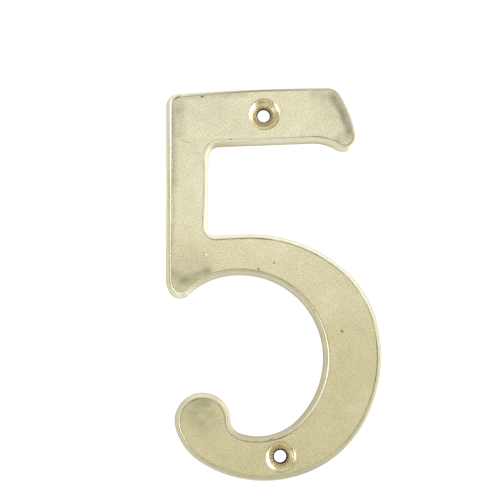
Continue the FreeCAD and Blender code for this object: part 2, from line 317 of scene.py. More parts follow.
class StudioSettings(bpy.types.PropertyGroup):
    """Plain pale floor, soft light all round and the photograph's camera."""

    surround: bpy.props.FloatProperty(
        name="Surround", description="Brightness of the white light tent", default=1.05, min=0.0
    )
    floor_drop: length("Floor", "Depth of the floor under the number", 260.0)
    floor_size: length("Floor size", "Side of the floor", 6000.0)
    camera_distance: length("Camera distance", "Lens to the plane of the number's back", 520.0)
    camera_left: length("Camera left", "Lens to the left of the upper screw hole", 16.1)
    camera_down: length("Camera down", "Lens below the upper screw hole", 49.0)
    camera_yaw: angle("Camera yaw", "Turn of the camera to the right", 1.486)
    camera_pitch: angle("Camera pitch", "Tilt of the camera upwards", 2.548)
    focal_length: bpy.props.FloatProperty(
        name="Focal length", description="On a 36 mm sensor", default=194.14, unit="CAMERA"
    )


# ---------------------------------------------------------------- outline and section

SHARP_FROM = 34.0  # edges that turn by more than this many degrees stay sharp
LARGEST_TURN = 0.08  # radians from one point of a bend to the next
ARRIS_STEPS = 4
WALL_STEPS = 11
# Darkness of the brown line on the rings of the shoulder, from wall to face: tarnish and painted
# dark reflection.
SHOULDER_LINE_AND_SHADE = (0.0, 0.0, 0.0, 0.0, 0.0, 0.0, 0.1, 0.45, 1.0)
# Rings of the face's outermost strip: how far in, in millimetres, and darkness of that line,
# tarnish and painted dark reflection.
FACE_BORDER = 0.26
BORDER_LINE_AND_SHADE = ((0.07, 0.85), (0.15, 0.12), (FACE_BORDER, 0.0))
# The extra film at the wall's lowest edge is partly painted dark reflection along the silhouette.
LOW_EDGE_FILM_AND_SHADE = 0.6  # extra film at the wall's lowest edge
LOW_EDGE_REACH = 0.5  # how far up it goes, in millimetres


def ahead(heading):
    return np.array((math.sin(heading), math.cos(heading)))


def right_of(heading):
    return np.array((math.cos(heading), -math.sin(heading)))


def trace_outline(spacing):
    """Points of the back outline, with the outward direction and the hand work and painted shade
    at each.
    """
    here = np.array(OUTLINE_START)
    heading = 0.0
    points = []
    outward = []
    middles = []
    for name, size, turn_to in OUTLINE:
        middles.append(len(points))
        if turn_to is None:
            count = math.ceil(size / spacing)
            for i in range(count):
                points.append(here + ahead(heading) * (size * i / count))
                outward.append(-right_of(heading))
            here = here + ahead(heading) * size
            continue
        end = math.radians(turn_to)
        swing = end - heading
        reach = math.copysign(size, swing)
        centre = here + right_of(heading) * reach
        by_length = math.ceil(abs(swing) * size / spacing)
        count = max(by_length, math.ceil(abs(swing) / LARGEST_TURN), 2)
        for i in range(count):
            at = heading + swing * i / count
            points.append(centre - right_of(at) * reach)
            outward.append(-right_of(at))
        here = centre - right_of(end) * reach
        heading = end
    starts = np.array([*middles, len(points)])
    middles = (starts[:-1] + starts[1:]) / 2
    stretch_work_and_shade = np.array([HAND_WORK_AND_SHADE[name] for name, size, turn_to in OUTLINE])
    numbers = np.arange(len(points))
    work_and_shade = [np.interp(numbers, middles, column, period=len(points)) for column in stretch_work_and_shade.T]
    return np.array(points), np.array(outward), np.column_stack(work_and_shade)


def arc(centre, radius, start, end, steps):
    """Points of an arc in a section, from one angle in degrees to another."""
    turned = np.radians(np.linspace(start, end, steps + 1))
    return [(centre[0] + radius * math.cos(t), centre[1] + radius * math.sin(t)) for t in turned]


def rim_section(sizes):
    """Rings of the rim from back to face: inset, height, edge film and brown line, both partly
    painted dark reflection.
    """
    lean = math.degrees(sizes.draft)
    slope = math.tan(sizes.draft)
    thick = sizes.thickness / MM
    arris = sizes.back_edge_radius / MM
    shoulder = sizes.shoulder_radius / MM
    secant = 1 / math.cos(sizes.draft)
    low = (arris * slope + arris * secant, arris)
    high = ((thick - shoulder) * slope + shoulder * secant, thick - shoulder)

    # The back arris gets full film: painted dark reflection along the silhouette.
    rings = [(x, z, 1.0, 0.0) for x, z in arc(low, arris, 270, 180 - lean, ARRIS_STEPS)]
    bottom = rings[-1][1]
    crest = arc(high, shoulder, 180 - lean, 90, len(SHOULDER_LINE_AND_SHADE) - 1)
    top = crest[0][1]
    for height in np.linspace(bottom, top, WALL_STEPS + 1)[1:-1]:
        film_and_shade = LOW_EDGE_FILM_AND_SHADE * max(0.0, 1 - (height - bottom) / LOW_EDGE_REACH)
        inset = low[0] - arris * math.cos(sizes.draft) + (height - bottom) * slope
        rings.append((inset, height, film_and_shade, 0.0))
    rings += [(x, z, 0.0, line_and_shade) for (x, z), line_and_shade in zip(crest, SHOULDER_LINE_AND_SHADE)]
    rings += [(high[0] + further, thick, 0.0, line_and_shade) for further, line_and_shade in BORDER_LINE_AND_SHADE]
    return rings, high[0]


# ---------------------------------------------------------------- hand work on the surface


def bell(distance, reach):
    return np.exp(-((distance / reach) ** 2))


def rolled_depth(spots, edge_distance):
    """How far polishing has rolled the face off at each spot, in millimetres."""
    inside = np.clip(edge_distance, 0, None)
    depth = 0.004 * np.clip(1 - inside / 0.5, 0, 1) ** 2
    for name, place, reach, width, at_edge in ROLLED_PLACES:
        away = np.hypot(spots[:, 0] - place[0], spots[:, 1] - place[1])
        depth += at_edge * bell(away, reach) * np.clip(1 - inside / width, 0, 1) ** 2
    return depth


def hazed(spots):
    """How hazy the wheel has left the face at each spot."""
    haze = np.zeros(len(spots))
    for name, start, end, reach, strength in HAZY_STROKES:
        run = np.subtract(end, start)
        along = np.clip((spots - start) @ run / (run @ run), 0, 1)
        away = np.linalg.norm(spots - start - along[:, None] * run, axis=1)
        haze = np.maximum(haze, strength * bell(away, reach))
    solid = np.column_stack((spots[:, 0], np.zeros(len(spots)), spots[:, 1]))
    return haze * (0.85 + 0.5 * waver(solid, 1.6))


def all_marks():
    """The marks named above, and small pores spread over the face by chance."""
    chance = np.random.default_rng(PORE_SEED)
    marks = list(MARKS)
    low, high = CAD_BOX
    for number in range(PORE_COUNT):
        place = (chance.uniform(low[0], high[0]) / MM, chance.uniform(low[2], high[2]) / MM)
        long = chance.uniform(0.14, 0.30)
        wide = long * chance.uniform(0.5, 0.9)
        slope = chance.uniform(0, 180)
        dark = chance.uniform(0.2, 0.65)
        marks.append(("pore", place, long, wide, slope, PORE_DEPTH, dark))
    return marks


def marked(spots):
    """Depth and darkness of the pits, nicks and scratches at each spot."""
    depth = np.zeros(len(spots))
    dark = np.zeros(len(spots))
    for name, place, long, wide, slope, deep, shade in all_marks():
        turn = math.radians(slope)
        x = spots[:, 0] - place[0]
        z = spots[:, 1] - place[1]
        along = (x * math.cos(turn) + z * math.sin(turn)) / (long / 2)
        across = (z * math.cos(turn) - x * math.sin(turn)) / (wide / 2)
        hollow = np.clip(1 - along**2 - across**2, 0, 1)
        depth += deep * hollow
        dark = np.maximum(dark, shade * np.clip(hollow * 1.6, 0, 1))
    return depth, dark


def mark_points():
    """Extra face points round each mark, so that it is a real hollow in the mesh."""
    points = []
    for name, place, long, wide, slope, deep, shade in all_marks():
        turn = math.radians(slope)
        points.append(place)
        rounds = max(8, math.ceil(long * 8))
        # Two rounds in the hollow, one on its edge and one outside.
        for out in (0.45, 0.8, 1.05, 1.35):
            for i in range(rounds):
                t = 2 * math.pi * (i + out) / rounds
                along = long / 2 * out * math.cos(t)
                across = wide / 2 * out * math.sin(t)
                x = place[0] + along * math.cos(turn) - across * math.sin(turn)
                z = place[1] + along * math.sin(turn) + across * math.cos(turn)
                points.append((x, z))
    return np.array(points)


def waver(points, size):
    """Smooth random unevenness between -1 and 1, with waves of the given size."""
    return np.array([noise.noise(Vector(p) / size) for p in points.tolist()])


# ---------------------------------------------------------------- filling flat surfaces

BATCH = 4000  # points compared at a time
SHIFT = 0.12  # how far chance moves a point, in spacings
MARK_ROOM = 0.28  # room kept round a mark's points, in spacings
EDGE_ROOM = 0.45  # room kept along an edge, in spacings


def scattered(low, high, spacing, seed):
    """Points over a rectangle in offset rows, each moved a little by chance."""
    chance = np.random.default_rng(seed)
    rise = spacing * math.sqrt(3) / 2
    rows = []
    for i, z in enumerate(np.arange(low[1], high[1], rise)):
        x = np.arange(low[0], high[0], spacing) + (i % 2) * spacing / 2
        rows.append(np.column_stack((x, np.full(len(x), z))))
    points = np.vstack(rows)
    return points + chance.uniform(-SHIFT, SHIFT, points.shape) * spacing


def inside(points, loop):
    """Whether each point lies inside a closed loop."""
    start = loop
    end = np.roll(loop, -1, axis=0)
    result = np.zeros(len(points), bool)
    for first in range(0, len(points), BATCH):
        p = points[first : first + BATCH, None, :]
        spans = (start[None, :, 1] > p[:, :, 1]) != (end[None, :, 1] > p[:, :, 1])
        rise = end[:, 1] - start[:, 1]
        rise = np.where(rise == 0, 1e-12, rise)
        cross = start[:, 0] + (p[:, :, 1] - start[:, 1]) * (end[:, 0] - start[:, 0]) / rise
        result[first : first + BATCH] = (spans & (p[:, :, 0] < cross)).sum(1) % 2 == 1
    return result


def nearest(points, loop):
    """Distance from each point to the nearest point of a loop."""
    result = np.zeros(len(points))
    for first in range(0, len(points), BATCH):
        p = points[first : first + BATCH, None, :]
        result[first : first + BATCH] = np.sqrt(((p - loop[None]) ** 2).sum(2)).min(1)
    return result


def filled(outer, holes, extra, spacing, seed):
    """Triangles that fill a loop with holes in it. Gives the added points and the triangles."""
    low = outer.min(0)
    high = outer.max(0)
    points = scattered(low, high, spacing, seed)
    if len(extra):
        points = points[nearest(points, extra) > MARK_ROOM * spacing]
        points = np.vstack((points, extra))
    keep = inside(points, outer) & (nearest(points, outer) > EDGE_ROOM * spacing)
    for hole in holes:
        keep &= ~inside(points, hole) & (nearest(points, hole) > EDGE_ROOM * spacing)
    points = points[keep]
    loops = [outer, *holes]
    corners = np.vstack((*loops, points))
    edges = []
    first = 0
    for loop in loops:
        count = len(loop)
        edges += [(first + i, first + (i + 1) % count) for i in range(count)]
        first += count
    flat = [Vector(p) for p in corners.tolist()]
    made, _, triangles, origins, _, _ = delaunay_2d_cdt(flat, edges, [], 0, 1e-7, True)
    name_of = [origin[0] for origin in origins]
    triangles = np.array([[name_of[i] for i in t] for t in triangles])
    middle = corners[triangles].mean(1)
    kept = inside(middle, outer)
    for hole in holes:
        kept &= ~inside(middle, hole)
    return points, triangles[kept]


# ---------------------------------------------------------------- the casting


class Skin:
    """Points, faces, finishes, tarnish and film of the casting while it is put together, both with
    painted shade in them.
    """

    def __init__(self):
        self.points = []
        self.faces = []
        self.finish = []
        self.tarnish_and_shade = []
        self.film_and_shade = []

    def add(self, spots, heights, tarnish_and_shade, film_and_shade=None):
        """Add points at (x, z) spots and heights over the back, and give their numbers."""
        first = len(self.points)
        self.points += [(x, -height, z) for (x, z), height in zip(spots, heights)]
        self.tarnish_and_shade += list(tarnish_and_shade)
        self.film_and_shade += list(np.zeros(len(spots)) if film_and_shade is None else film_and_shade)
        return np.arange(first, len(self.points))

    def face(self, corners, finish):
        self.faces.append(tuple(int(c) for c in corners))
        self.finish.append(finish)

    def band(self, lower, upper, finish):
        """Four-sided faces between two rings."""
        count = len(lower)
        for i in range(count):
            j = (i + 1) % count
            self.face((lower[i], lower[j], upper[j], upper[i]), finish)

    def loop(self, ring):
        """The (x, z) spots of a ring's points."""
        return np.array([(self.points[i][0], self.points[i][2]) for i in ring])

    def fill(self, numbers, triangles, finish):
        """Triangles over points that are given by their number in several lists."""
        for triangle in np.concatenate(numbers)[triangles]:
            self.face(triangle, finish)


FACE, WALL, CUT, THROAT, BACK = range(5)
EDGE_FADE = 1.5  # millimetres from an edge over which waviness comes in


def cast_rim(skin, sizes, points, outward, work_and_shade):
    """The drafted wall, the shoulder and the face's edge. Gives the back and face rings."""
    rings, edge_inset = rim_section(sizes)
    thick = sizes.thickness / MM
    low_film_and_shade, high_film_and_shade, crest_film_and_shade, widening, line_and_shade = work_and_shade.T
    edge_drop = rolled_depth(points - outward * edge_inset, np.zeros(len(points)))
    amount = sizes.unevenness / MM
    placed = []
    for inset, height, arris_film_and_shade, line_and_shade_here in rings:
        near_face = min(1.0, max(0.0, height / thick - 0.5) * 2)
        spots = points - outward * inset
        solid = np.column_stack((spots[:, 0], np.full(len(spots), height * 1.7), spots[:, 1]))
        on_wall = min(1.0, height / 0.4) * min(1.0, max(0.0, (thick - height) / 0.5))
        rough = 0.5 + 0.35 * waver(solid, 4.5) + 0.15 * waver(solid, 1.3)
        inward = amount * (0.35 + 0.65 * on_wall) * rough + widening * near_face**24
        spots = spots - outward * inward[:, None]
        dents, dark = marked(spots)
        if inset > edge_inset:
            drop = rolled_depth(spots, np.full(len(spots), inset - edge_inset))
        else:
            drop = edge_drop * near_face**1.5
        patchy = 0.92 + 0.45 * waver(solid + 40.0, 3.2) + 0.30 * waver(solid - 25.0, 0.9)
        # The film and its painted shade go over from low to high between 1 and 3 mm, and to the
        # crest near the top.
        upper = np.interp(height, (1.0, 3.0), (0.0, 1.0))
        crest = np.interp(height, (thick - 0.35, thick - 0.12), (0, 1))
        film_and_shade_here = upper * (high_film_and_shade - low_film_and_shade) + low_film_and_shade
        film_and_shade_here += crest * (crest_film_and_shade - high_film_and_shade)
        # The brush ran along the wall and left wandering lines in the film.
        wander = 3.0 * waver(solid + 90.0, 12.0)
        film_and_shade_here += 0.03 * np.sin(5.1 * height + wander)
        film_and_shade_here += 0.03 * np.sin(11.3 * height - 1.7 * wander)
        film_and_shade_here = film_and_shade_here * (0.93 + 0.10 * waver(solid - 60.0, 4.0)) + 0.6 * arris_film_and_shade
        if inset > edge_inset:
            film_and_shade_here = hazed(spots)
        # Brown line at the face's edge: tarnish and painted dark reflection, with the marks' own
        # darkness.
        stain_and_shade = np.maximum(np.clip(line_and_shade_here * line_and_shade * patchy, 0, 1), dark * near_face)
        level = height - drop - dents * near_face**6
        placed.append(skin.add(spots, level, stain_and_shade, np.clip(film_and_shade_here, 0, 1)))
    for lower, upper, ring in zip(placed, placed[1:], rings[1:]):
        skin.band(upper, lower, FACE if ring[0] > edge_inset else WALL)
    return placed[0], placed[-1]


def cut_hole(skin, sizes, centre, rim, painted_hole_shade, darker_side_angle, darker_side_narrowness):
    """A turned countersink and the hole behind it, with painted shade in its throat. Gives the
    face and back rings.
    """
    thick = sizes.thickness / MM
    widen = math.tan(sizes.countersink / 2)
    neck = sizes.neck / MM / 2
    hole = sizes.hole / MM / 2
    neck_height = thick - (rim - neck) / widen
    straight = sizes.hole_length / MM
    rings = round((thick - neck_height) / (sizes.turning_pitch / MM))
    pitch = (thick - neck_height) / rings

    # Rings from the face inwards: radius, height over the back, darkness and finish.
    section = [
        (rim + 0.16, thick, 0.0, FACE),
        (rim + 0.08, thick, 0.55, FACE),
        (rim + 0.02, thick - 0.004, 1.0, FACE),
        (rim - 0.03, thick - 0.04, 1.0, CUT),
    ]
    # The cutter left steps: each has a sloping tread, which shines, and a steep riser.
    for ring in range(rings):
        step = pitch * widen
        start = rim - ring * step
        chatter = math.radians(2.2 * math.sin(1.9 * ring + 0.6))
        fall = step * math.tan(sizes.ring_slope + chatter)
        for across in (0.0, 0.5, 1.0) if ring else (0.25, 0.6, 1.0):
            height = thick - ring * pitch - fall * across
            section.append((start - step * across, height, 0.05, CUT))
    # Where the two drills met there is a small ledge; the black on it and down the hole is painted
    # shade.
    ledge_top = straight + 0.47
    section += [
        (neck - 0.01, neck_height - 0.02, 0.12, CUT),
        (neck - 0.03, neck_height - 0.1, 0.0, THROAT),
        (neck - 0.08, straight + 0.50, 0.2 * painted_hole_shade, THROAT),
        (neck - 0.11, straight + 0.44, painted_hole_shade, THROAT),
        (hole + 0.03, straight + 0.18, painted_hole_shade, THROAT),
        (hole, straight + 0.12, painted_hole_shade, THROAT),
        (hole, 0.5, painted_hole_shade, THROAT),
        (hole, 0.08, painted_hole_shade, THROAT),
        (hole + 0.06, 0.0, 0.4, BACK),
    ]

    around = np.linspace(0, 2 * math.pi, HOLE_POINTS, endpoint=False)
    circle = np.column_stack((np.cos(around), np.sin(around)))
    placed = []
    for radius, height, film_and_shade, finish in section:
        spots = centre + circle * radius
        level = np.full(len(spots), height)
        if height > thick - 0.001:
            level = level - rolled_depth(spots, np.full(len(spots), 9.0))
        solid = np.column_stack((spots[:, 0], level, spots[:, 1]))
        uneven = 0.85 + 0.6 * waver(solid, 1.1)
        film_and_shade = np.full(len(spots), film_and_shade)
        if finish == THROAT and height < ledge_top:
            # Painted shade, darkest on one side of the ledge.
            darker_side = 0.5 + 0.5 * np.cos(around - math.radians(darker_side_angle))
            film_and_shade = np.maximum(film_and_shade, darker_side**darker_side_narrowness)
            uneven = 0.95 + 0.3 * waver(solid, 1.1)
        if finish == CUT or height > thick - 0.01:
            # Painted shade: two opposite sides of the rim and cone are darker, and the two between
            # them are left bright.
            rim_shade = np.cos(around - math.radians(RIM_SHADE_SIDE)) ** 2
            uneven = uneven * np.clip(1.25 * rim_shade, 0, 1)
        placed.append(skin.add(spots, level, np.clip(film_and_shade * uneven, 0, 1)))
    for lower, upper, ring in zip(placed, placed[1:], section[1:]):
        skin.band(lower, upper, ring[3])
    return placed[0], placed[-1]


def polish_face(skin, sizes, edge_ring, hole_rings):
    """The face, with what polishing rolled off and the marks that it did not take out."""
    thick = sizes.thickness / MM
    outer = skin.loop(edge_ring)
    holes = [skin.loop(ring) for ring in hole_rings]
    points, triangles = filled(outer, holes, mark_points(), sizes.spacing / MM, FACE_SEED)
    distance = nearest(points, outer) + FACE_BORDER
    depth, dark = marked(points)
    solid = np.column_stack((points[:, 0], np.zeros(len(points)), points[:, 1]))
    # The wheel left the face wavy by up to 0.012 mm, but not along its edges.
    swell = 0.012 * (0.5 + 0.5 * waver(solid, 9.0))
    swell *= np.clip((distance - FACE_BORDER) / EDGE_FADE, 0, 1)
    for hole in holes:
        swell *= np.clip(nearest(points, hole) / EDGE_FADE, 0, 1)
    level = thick - rolled_depth(points, distance) - depth - swell
    added = skin.add(points, level, dark, np.clip(hazed(points), 0, 1))
    skin.fill((edge_ring, *hole_rings, added), triangles, FACE)


def cast_back(skin, sizes, edge_ring, hole_rings):
    """The back, flat but never touched since it left the sand."""
    outer = skin.loop(edge_ring)
    holes = [skin.loop(ring) for ring in hole_rings]
    points, triangles = filled(outer, holes, (), sizes.back_spacing / MM, BACK_SEED)
    solid = np.column_stack((points[:, 0], np.zeros(len(points)), points[:, 1]))
    edge = np.clip(nearest(points, outer) / EDGE_FADE, 0, 1)
    # Shallow hollows of the sand: broad ones up to 0.07 mm deep, with small ones in them.
    level = 0.07 * edge * (0.5 + 0.5 * waver(solid, 2.4)) + 0.02 * edge * (1 + waver(solid, 0.8))
    tarnish_and_shade = np.clip(0.25 + 0.5 * waver(solid, 3.5), 0, 1)
    added = skin.add(points, level, tarnish_and_shade)
    skin.fill((edge_ring, *hole_rings, added), triangles[:, ::-1], BACK)


def facing_out(skin):
    """Whether the faces look out of the metal, by the sign of the volume they enclose."""
    points = np.array(skin.points)
    volume = 0.0
    for corners in skin.faces:
        p = points[list(corners)]
        for i in range(1, len(p) - 1):
            volume += np.dot(p[0], np.cross(p[i], p[i + 1])) / 6
    return volume > 0


def casting_mesh(sizes):
    """The whole number as one closed mesh, in metres, inside the CAD part's box."""
    skin = Skin()
    points, outward, work_and_shade = trace_outline(sizes.spacing / MM)
    back_ring, edge_ring = cast_rim(skin, sizes, points, outward, work_and_shade)
    face_rings = []
    back_rings = []
    for mount, rim_size, painted_hole_shade, darker_side_angle, darker_side_narrowness in SCREW_HOLES:
        place = MOUNTS[mount]["pos_m"]
        centre = np.array((place[0], place[2])) / MM
        rim = getattr(sizes, rim_size) / MM / 2
        front, behind = cut_hole(skin, sizes, centre, rim, painted_hole_shade, darker_side_angle, darker_side_narrowness)
        face_rings.append(front)
        back_rings.append(behind)
    polish_face(skin, sizes, edge_ring, face_rings)
    cast_back(skin, sizes, back_ring, back_rings)

    inside_box = np.clip(np.array(skin.points) * MM, CAD_BOX[0], CAD_BOX[1])
    mesh = bpy.data.meshes.new("brass_numeral")
    mesh.from_pydata(inside_box.tolist(), [], skin.faces)
    if not facing_out(skin):
        mesh.flip_normals()
    mesh.polygons.foreach_set("material_index", skin.finish)
    for name, amounts in (("tarnish_and_shade", skin.tarnish_and_shade), ("film_and_shade", skin.film_and_shade)):
        attribute = mesh.attributes.new(name, "FLOAT", "POINT")
        attribute.data.foreach_set("value", np.array(amounts, np.float32))
    mesh.shade_smooth()
    mesh.set_sharp_from_angle(angle=math.radians(SHARP_FROM))
    if mesh.validate():
        raise RuntimeError("the casting's mesh has faces that do not hold")
    return mesh


# ---------------------------------------------------------------- finishes


MIX = {"data_type": "RGBA"}
MULTIPLY = {"data_type": "RGBA", "blend_type": "MULTIPLY"}


def add_node(tree, kind, sockets, settings=None, give=0):
    """Add a node with its settings, and values or links for its sockets. Gives an output."""
    node = tree.nodes.new("ShaderNode" + kind)
    for name, value in (settings or {}).items():
        setattr(node, name, value)
    for name, value in sockets.items():
        if isinstance(value, bpy.types.NodeSocket):
            tree.links.new(value, node.inputs[name])
        else:
            node.inputs[name].default_value = value
    return node.outputs[give] if node.outputs else None


def new_finish(name):
    """An empty material, its node tree and the casting's own coordinates in metres."""
    material = bpy.data.materials.new(name)
    material.use_nodes = True
    tree = material.node_tree
    tree.nodes.clear()
    return material, tree, add_node(tree, "TexCoord", {}, give="Object")


def opaque(colour_value):
    return (*colour_value, 1.0)


def grains(millimetres):
    """Scale of a noise whose grains are about that many millimetres across."""
    return 1 / (millimetres * MM)


def mottled(tree, place, millimetres, least, most, detail=2.0, span=(0.3, 0.7)):
    """Soft patches about that many millimetres across, between two values."""
    noise = {"Vector": place, "Scale": grains(millimetres), "Detail": detail}
    noise = add_node(tree, "TexNoise", noise)
    return add_node(tree, "MapRange", {0: noise, 1: span[0], 2: span[1], 3: least, 4: most})


def tarnished_and_shaded(tree, base, brown):
    """A colour under brown tarnish in pits and on the back, and under painted shade along the
    edges and in the holes.
    """
    stain_and_shade = add_node(tree, "Attribute", {}, {"attribute_name": "tarnish_and_shade"}, "Fac")
    return add_node(tree, "Mix", {0: stain_and_shade, 6: base, 7: opaque(brown)}, MIX, 2)


def bare_metal(tree, base, rough, relief, glance=(1.0, 1.0, 1.0)):
    """Metal with that colour, roughness, relief and tint at a glancing angle."""
    surface = {"Base Color": base, "Roughness": rough, "Normal": relief, "Metallic": 1.0}
    surface["Specular Tint"] = opaque(glance)
    shader = add_node(tree, "BsdfPrincipled", surface)
    add_node(tree, "OutputMaterial", {"Surface": shader})


def hand_polished_brass(colours):
    """Face: cast brass rubbed down on a cloth wheel. Pale, softly mottled and satin bright."""
    material, tree, place = new_finish("hand_polished_cast_brass")
    height = add_node(tree, "SeparateXYZ", {"Vector": place}, give="Z")
    # Painted shade: the face goes darker and yellower down the figure, where less light falls,
    # mixed with broad random patches of about 9 mm.
    painted_shade_lower_down = add_node(tree, "MapRange", {0: height, 1: -0.012, 2: -0.046, 3: 0.0, 4: 0.85})
    broad = mottled(tree, place, 9.0, 0.0, 0.25)
    patches = add_node(tree, "Math", {0: painted_shade_lower_down, 1: broad}, {"operation": "ADD"})
    pale = opaque(colours.polished)
    deep = opaque(colours.polish_in_painted_shade)
    base = add_node(tree, "Mix", {0: patches, 6: pale, 7: deep}, MIX, 2)
    # Fainter clouds, 3 mm across, where the wheel dwelt.
    clouds = mottled(tree, place, 3.0, 0.95, 1.04, 3.0)
    base = add_node(tree, "Mix", {0: 1.0, 6: base, 7: clouds}, MULTIPLY, 2)
    haze = add_node(tree, "Attribute", {}, {"attribute_name": "film_and_shade"}, "Fac")
    base = add_node(tree, "Mix", {0: haze, 6: base, 7: opaque(colours.haze)}, MIX, 2)
    # Pores of the casting are 0.05 mm; drawn at 0.28 mm, or the render would not show them.
    pores = add_node(tree, "TexNoise", {"Vector": place, "Scale": grains(0.28), "Detail": 2.0})
    dark = 1.0 - 0.3 * colours.grain
    speckle = add_node(tree, "MapRange", {0: pores, 1: 0.34, 2: 0.5, 3: dark, 4: 1.0})
    base = add_node(tree, "Mix", {0: 1.0, 6: base, 7: speckle}, MULTIPLY, 2)
    # Wheel marks: hairlines 0.2 mm apart and 3 mm long, rising to the right.
    turned = {"Vector": place, "Rotation": (0.0, math.radians(45), 0.0)}
    drawn = {"Vector": add_node(tree, "Mapping", turned), "Scale": (0.35, 1.0, 5.0)}
    drawn = add_node(tree, "Mapping", drawn)
    hairs = add_node(tree, "TexNoise", {"Vector": drawn, "Scale": grains(1.0), "Detail": 2.0})
    tint = add_node(tree, "MapRange", {0: hairs, 1: 0.3, 2: 0.7, 3: 0.965, 4: 1.015})
    base = add_node(tree, "Mix", {0: 1.0, 6: base, 7: tint}, MULTIPLY, 2)
    # Flecks left by the buffing soap, about 0.25 mm, a little fainter down the figure.
    flecks = mottled(tree, place, 0.25, 0.84, 1.0, 1.0, (0.32, 0.5))
    strong = add_node(tree, "MapRange", {0: height, 1: -0.046, 2: -0.012, 3: 0.85, 4: 1.0})
    base = add_node(tree, "Mix", {0: strong, 6: base, 7: flecks}, MULTIPLY, 2)
    base = tarnished_and_shaded(tree, base, colours.tarnish_and_shade)
    dull = add_node(tree, "MapRange", {0: hairs, 1: 0.3, 2: 0.7, 3: -0.02, 4: 0.02})
    rough = {0: dull, 1: colours.face_roughness}
    rough = add_node(tree, "Math", rough, {"operation": "ADD"})
    relief = add_node(tree, "Bump", {"Height": pores, "Strength": 0.07, "Distance": 0.00003})
    relief = {"Height": hairs, "Strength": 0.01, "Distance": 0.00003, "Normal": relief}
    bare_metal(tree, base, rough, add_node(tree, "Bump", relief))
    return material


def brushed_cast_wall(colours):
    """Side walls and shoulder: sand-cast skin brushed bright. Soft, a little lumpy, creamy."""
    material, tree, place = new_finish("brushed_cast_brass_wall")
    # Lumps that the brush went over, about 1.6 mm.
    lumps = mottled(tree, place, 1.6, 0.92, 1.04)
    base = add_node(tree, "Mix", {0: 1.0, 6: opaque(colours.wall), 7: lumps}, MULTIPLY, 2)
    # Tan film, partly painted shade on the walls and shoulders that take less light.
    film_and_shade = add_node(tree, "Attribute", {}, {"attribute_name": "film_and_shade"}, "Fac")
    base = add_node(tree, "Mix", {0: film_and_shade, 6: base, 7: opaque(colours.film_and_shade)}, MIX, 2)
    # Low on the wall, within 2 mm of the back, the brass stays yellower.
    depth = add_node(tree, "SeparateXYZ", {"Vector": place}, give="Y")
    low = add_node(tree, "MapRange", {0: depth, 1: -0.0024, 2: -0.0006, 3: 0.0, 4: 1.0})
    base = add_node(tree, "Mix", {0: low, 6: base, 7: opaque(colours.low_wall)}, MULTIPLY, 2)
    base = tarnished_and_shaded(tree, base, colours.tarnish_and_shade)
    # Sand grain of the mould, about 0.3 mm.
    sand = add_node(tree, "TexNoise", {"Vector": place, "Scale": grains(0.3), "Detail": 3.0})
    relief = add_node(tree, "Bump", {"Height": sand, "Strength": 0.18, "Distance": 0.00004})
    smoothest = colours.wall_roughness - 0.05
    roughest = colours.wall_roughness + 0.07
    rough = add_node(tree, "MapRange", {0: sand, 1: 0.3, 2: 0.7, 3: smoothest, 4: roughest})
    bare_metal(tree, base, rough, relief, colours.wall_glance)
    return material


def countersunk_brass(colours):
    """Countersinks: brass freshly turned by the cutter. The deepest gold, bright with rings."""
    material, tree, place = new_finish("countersunk_brass")
    # The cutter smeared the brass unevenly, in patches of about 0.8 mm.
    smear = mottled(tree, place, 0.8, 0.90, 1.03)
    base = add_node(tree, "Mix", {0: 1.0, 6: opaque(colours.cut), 7: smear}, MULTIPLY, 2)
    base = tarnished_and_shaded(tree, base, colours.tarnish_and_shade)
    # Chatter of the cutter, about 0.5 mm.
    chatter = {"Vector": place, "Scale": grains(0.5), "Detail": 2.0}
    chatter = add_node(tree, "TexNoise", chatter)
    relief = add_node(tree, "Bump", {"Height": chatter, "Strength": 0.02, "Distance": 0.00004})
    rough = add_node(tree, "MapRange", {0: chatter, 1: 0.3, 2: 0.7, 3: 0.13, 4: 0.18})
    bare_metal(tree, base, rough, relief)
    return material


def drilled_brass(colours):
    """Hole behind the countersink: drilled and then left. Painted brown shade over the brass."""
    material, tree, place = new_finish("drilled_brass_with_painted_shade")
    # The throat's dark brown is painted shade.
    base = tarnished_and_shaded(tree, opaque(colours.drilled), colours.painted_hole_shade)
    # Marks of the drill, 0.3 mm long and 0.1 mm apart down the hole.
    pressed = add_node(tree, "Mapping", {"Vector": place, "Scale": (1.0, 3.0, 1.0)})
    spiral = {"Vector": pressed, "Scale": grains(0.3), "Detail": 2.0}
    spiral = add_node(tree, "TexNoise", spiral)
    relief = add_node(tree, "Bump", {"Height": spiral, "Strength": 0.2, "Distance": 0.00004})
    rough = add_node(tree, "MapRange", {0: spiral, 1: 0.3, 2: 0.7, 3: 0.35, 4: 0.5})
    bare_metal(tree, base, rough, relief, colours.drilled_glance_shade)
    return material


def sand_cast_back(colours):
    """Back: the skin as it left the sand. Dull, grainy, yellow-brown with darker patches."""
    material, tree, place = new_finish("sand_cast_brass_back")
    # Patches of thinner and thicker skin, about 4 mm.
    patches = mottled(tree, place, 4.0, 0.82, 1.06, 5.0, (0.35, 0.65))
    base = add_node(tree, "Mix", {0: 1.0, 6: opaque(colours.back), 7: patches}, MULTIPLY, 2)
    base = tarnished_and_shaded(tree, base, colours.tarnish_and_shade)
    # Sand grain of the mould, about 0.4 mm.
    sand = add_node(tree, "TexNoise", {"Vector": place, "Scale": grains(0.4), "Detail": 3.0})
    speckle = add_node(tree, "MapRange", {0: sand, 1: 0.35, 2: 0.65, 3: 0.82, 4: 1.06})
    base = add_node(tree, "Mix", {0: 1.0, 6: base, 7: speckle}, MULTIPLY, 2)
    relief = add_node(tree, "Bump", {"Height": sand, "Strength": 0.5, "Distance": 0.00008})
    rough = add_node(tree, "MapRange", {0: sand, 1: 0.3, 2: 0.7, 3: 0.5, 4: 0.68})
    bare_metal(tree, base, rough, relief)
    return material


